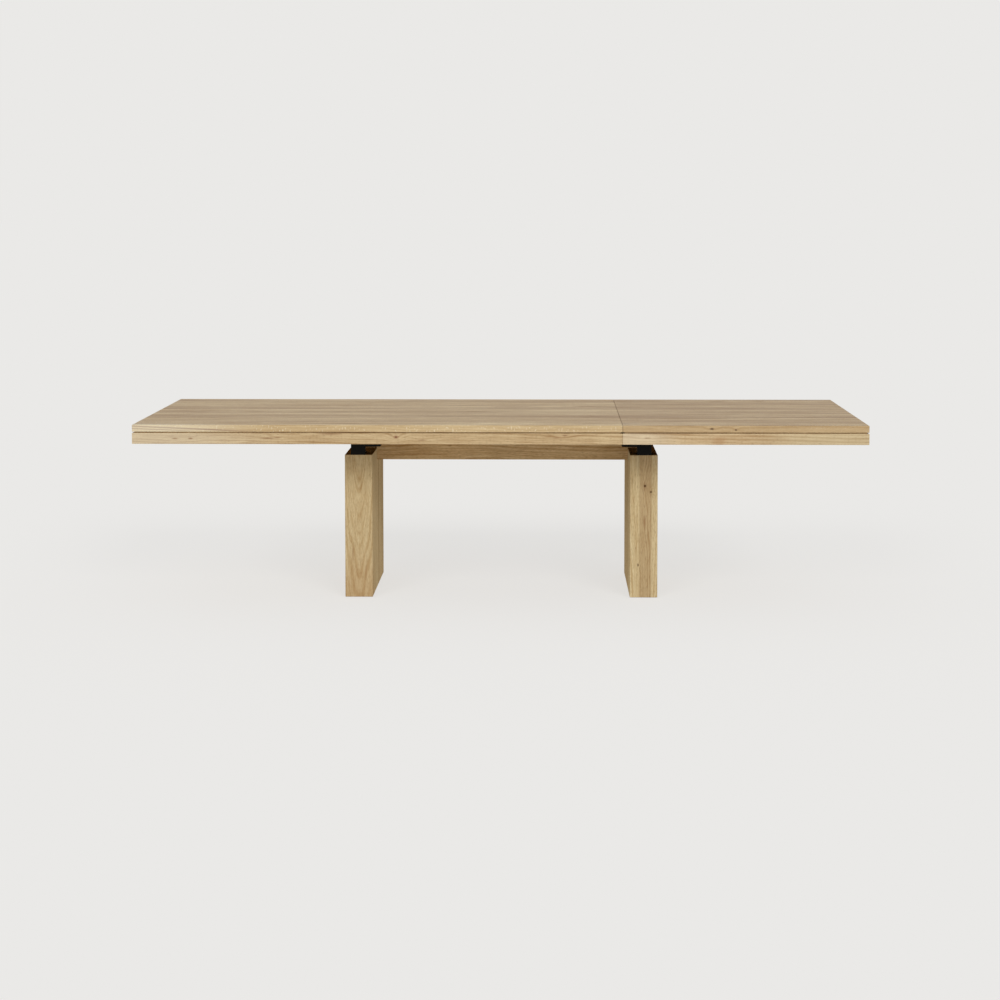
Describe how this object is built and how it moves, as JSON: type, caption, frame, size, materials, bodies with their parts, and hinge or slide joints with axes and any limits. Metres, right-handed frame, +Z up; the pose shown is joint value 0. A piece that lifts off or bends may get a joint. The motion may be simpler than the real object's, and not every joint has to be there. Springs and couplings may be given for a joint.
{
  "type": "extendable dining table",
  "caption": "Long oak dining table on two slab legs; its layered top slides on steel rails and carries a pull-off end leaf on support arms.",
  "frame": {"origin": "on the floor under the middle of the table as it stands with its leaf in place", "axes": "+X along the table towards the end leaf, +Y to the back edge, +Z up"},
  "size_m": [3, 1, 0.76],
  "materials": {
    "oak_top": "matt oiled light oak",
    "oak_base": "matt oiled light oak",
    "oak_inner": "planed, unfinished",
    "beech": "turned, unfinished",
    "black_steel": "matt black powder coat",
    "zinc_steel": "zinc plated",
    "aluminium": "mill finish",
    "brass": "turned brass",
    "nylon": "natural nylon"
  },
  "bodies": {
    "base": {"arm_sleeve_back": "black_steel", "arm_sleeve_front": "black_steel", "beam": "oak_base", "beam_lag_screws": "zinc_steel", "bracket_left_back": "black_steel", "bracket_left_front": "black_steel", "bracket_right_back": "black_steel", "bracket_right_front": "black_steel", "bracket_screws": "zinc_steel", "cross_tie_left_end": "black_steel", "cross_tie_left_leg": "black_steel", "cross_tie_middle": "black_steel", "cross_tie_right_end": "black_steel", "cross_tie_right_leg": "black_steel", "floor_glides": "nylon", "leg_left": "oak_base", "leg_right": "oak_base", "rail_back": "black_steel", "rail_bolts": "zinc_steel", "rail_end_stops": "nylon", "rail_front": "black_steel", "sleeve_bolts": "zinc_steel", "tie_screws": "zinc_steel"},
    "main_top": {"button_screws": "zinc_steel", "locator_bushes": "brass", "main_apron_back": "oak_top", "main_apron_end": "oak_top", "main_apron_front": "oak_top", "main_apron_seam": "oak_top", "main_batten_1": "oak_inner", "main_batten_2": "oak_inner", "main_batten_3": "oak_inner", "main_batten_screws": "zinc_steel", "main_corner_blocks": "oak_inner", "main_panel": "oak_top", "main_spacer": "oak_top", "slider_screws": "zinc_steel", "sliders_back": "nylon", "sliders_front": "nylon"},
    "leaf": {"leaf_apron_back": "oak_top", "leaf_apron_end": "oak_top", "leaf_apron_front": "oak_top", "leaf_apron_seam": "oak_top", "leaf_batten_1": "oak_inner", "leaf_batten_2": "oak_inner", "leaf_batten_3": "oak_inner", "leaf_batten_screws": "zinc_steel", "leaf_corner_blocks": "oak_inner", "leaf_pads": "nylon", "leaf_panel": "oak_top", "leaf_spacer": "oak_top", "locator_dowels": "beech"},
    "support_arms": {"arm_bridge": "aluminium", "bridge_bolts": "zinc_steel", "support_arm_back": "aluminium", "support_arm_front": "aluminium"},
    "turn_button_front": {"turn_button_front": "black_steel"},
    "turn_button_back": {"turn_button_back": "black_steel"}
  },
  "joints": [
    {"name": "top_slide", "type": "slide", "parent": "base", "child": "main_top", "axis": [1, 0, 0], "range_m": [0, 0.5]},
    {"name": "arms_slide", "type": "slide", "parent": "base", "child": "support_arms", "axis": [-1, 0, 0], "range_m": [0, 0.5]},
    {"name": "leaf_pull_off", "type": "slide", "parent": "main_top", "child": "leaf", "axis": [1, 0, 0], "range_m": [0, 1]},
    {"name": "turn_front", "type": "hinge", "parent": "main_top", "child": "turn_button_front", "pos_m": [0.4875, -0.38, 0.68], "axis": [0, 0, 1], "range_deg": [0, 90]},
    {"name": "turn_back", "type": "hinge", "parent": "main_top", "child": "turn_button_back", "pos_m": [0.4875, 0.38, 0.68], "axis": [0, 0, -1], "range_deg": [0, 90]}
  ]
}
